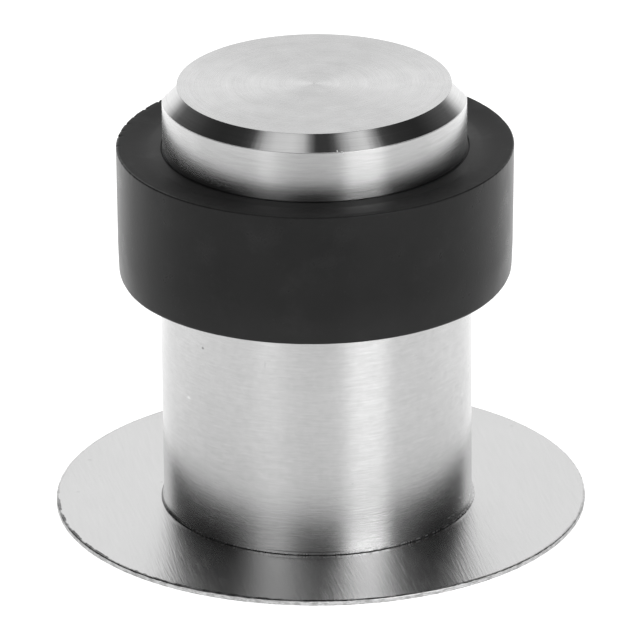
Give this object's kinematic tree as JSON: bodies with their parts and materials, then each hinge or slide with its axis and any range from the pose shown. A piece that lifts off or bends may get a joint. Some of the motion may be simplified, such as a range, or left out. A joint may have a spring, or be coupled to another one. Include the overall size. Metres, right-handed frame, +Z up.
{
  "type": "door stop",
  "caption": "Floor door stop: round brushed stainless post on a thin disc plate, thick black rubber buffer ring, and a chamfered cap that unscrews.",
  "frame": {"origin": "centre of the floor plate's underside, on the post's axis, in the plane of the floor", "axes": "+Z up along the post's axis, towards the cap; every piece is coaxial with Z, so X and Y are any two directions in the floor"},
  "size_m": [0.08, 0.08, 0.0674],
  "materials": {
    "satin_tube": "satin, brushed round the post",
    "sheet_steel": "fine ground sheet with light scratches, sheared bright edge",
    "turned_cap": "fine faced top, polished chamfer, brushed side",
    "bare_steel": "turned, lightly oiled",
    "zinc_hardware": "bright zinc plated",
    "black_rubber": "matt moulded, faint handling marks",
    "seal_rubber": "smooth moulded"
  },
  "bodies": {
    "post": {"floor_plate": "sheet_steel", "post_tube": "satin_tube", "base_plug": "bare_steel", "head_plug": "bare_steel", "buffer_core": "bare_steel", "core_washer": "zinc_hardware", "core_spring_washer": "zinc_hardware", "core_nut": "zinc_hardware", "tie_stud": "zinc_hardware"},
    "buffer": {"buffer_ring": "black_rubber"},
    "cap_seal": {"cap_o_ring": "seal_rubber"},
    "cap": {"cap": "turned_cap"}
  },
  "joints": [
    {"name": "buffer_turn", "type": "hinge", "parent": "post", "child": "buffer", "pos_m": [0, 0, 0.0475], "axis": [0, 0, 1], "continuous": true},
    {"name": "cap_rise", "type": "slide", "parent": "post", "child": "cap_seal", "axis": [0, 0, 1], "range_m": [0, 0.0095]},
    {"name": "cap_turn", "type": "hinge", "parent": "cap_seal", "child": "cap", "pos_m": [0, 0, 0.0574], "axis": [0, 0, 1], "range_deg": [0, 2700]}
  ],
  "couplings": [
    {"joint": "cap_rise", "follows": "cap_turn", "m_per_rad": 0.00019894}
  ]
}
